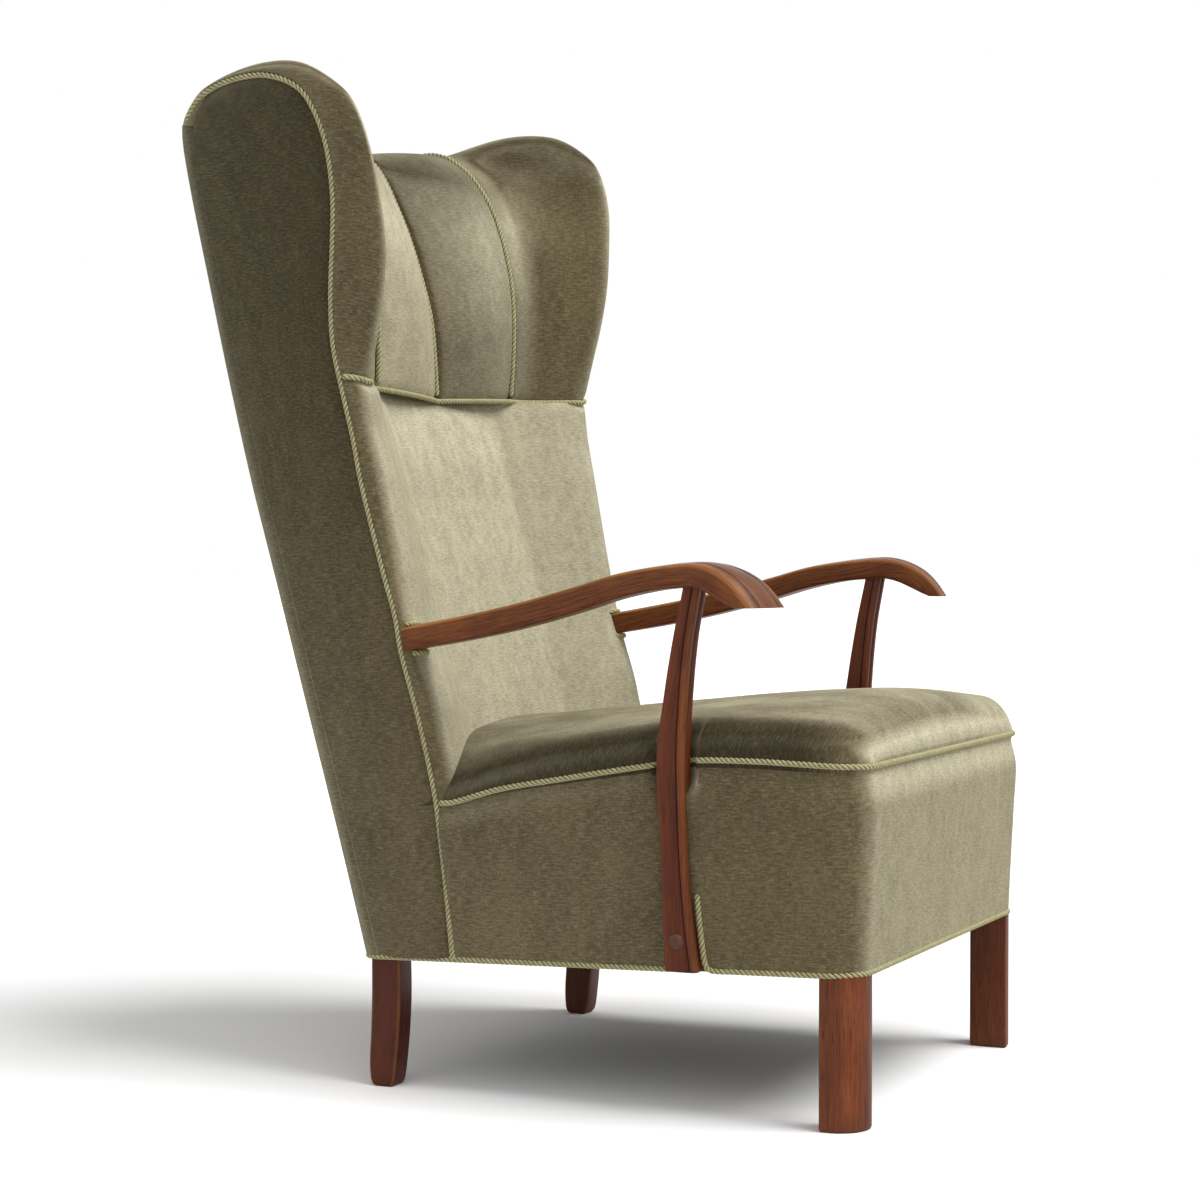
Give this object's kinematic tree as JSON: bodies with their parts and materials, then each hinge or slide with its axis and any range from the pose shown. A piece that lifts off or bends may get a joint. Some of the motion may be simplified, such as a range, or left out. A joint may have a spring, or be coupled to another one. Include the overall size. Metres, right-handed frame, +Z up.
{
  "type": "high back fireside armchair",
  "caption": "High-backed upholstered fireside chair with winged, fluted head, sprung seat, corded seams, open carved wooden arms on bowed posts and short wooden legs",
  "frame": {"origin": "on the floor under the middle of the whole width and depth", "axes": "the chair faces -Y, +X is the sitter's left, +Z is up"},
  "size_m": [0.6616, 0.797, 1.12],
  "materials": {
    "velour": "short slubby pile",
    "piping": "twisted two-tone cord",
    "oak": "satin varnish",
    "dark_beech": "satin stain",
    "raw_beech": "sawn, untreated",
    "jute": "plain weave",
    "spring_steel": "drawn wire"
  },
  "bodies": {
    "root": {"seat_front_rail": "raw_beech", "seat_rear_rail": "raw_beech", "seat_side_rail_left": "raw_beech", "seat_side_rail_right": "raw_beech", "front_corner_block_left": "raw_beech", "front_corner_block_right": "raw_beech", "rear_corner_block_left": "raw_beech", "rear_corner_block_right": "raw_beech", "back_post_left": "dark_beech", "back_post_right": "dark_beech", "back_top_rail": "raw_beech", "back_middle_rail": "raw_beech", "back_bottom_rail": "raw_beech", "wing_board_left": "raw_beech", "wing_board_right": "raw_beech", "front_leg_left": "oak", "front_leg_right": "oak", "arm_left": "oak", "arm_right": "oak", "arm_post_left": "oak", "arm_post_right": "oak", "post_bolt_left": "oak", "post_bolt_right": "oak", "arm_screw_left": "spring_steel", "arm_screw_right": "spring_steel", "seat_webbing": "jute", "seat_spring_1": "spring_steel", "seat_spring_2": "spring_steel", "seat_spring_3": "spring_steel", "seat_spring_4": "spring_steel", "seat_spring_5": "spring_steel", "seat_spring_6": "spring_steel", "seat_spring_7": "spring_steel", "seat_spring_8": "spring_steel", "seat_spring_9": "spring_steel", "spring_canvas": "jute", "back_webbing": "jute", "seat_pad": "velour", "seat_border": "velour", "lower_back_pad": "velour", "head_channel_left": "velour", "head_channel_right": "velour", "wing_pad_left": "velour", "wing_pad_right": "velour", "side_panel_left": "velour", "side_panel_right": "velour", "outer_back": "velour", "dust_cover": "jute", "side_piping_left": "piping", "side_piping_right": "piping", "seat_piping": "piping", "bottom_piping_front": "piping", "bottom_piping_rear": "piping", "head_piping": "piping", "centre_piping": "piping", "flute_piping_left": "piping", "flute_piping_right": "piping", "arm_collar_left": "piping", "arm_collar_right": "piping"}
  },
  "joints": []
}
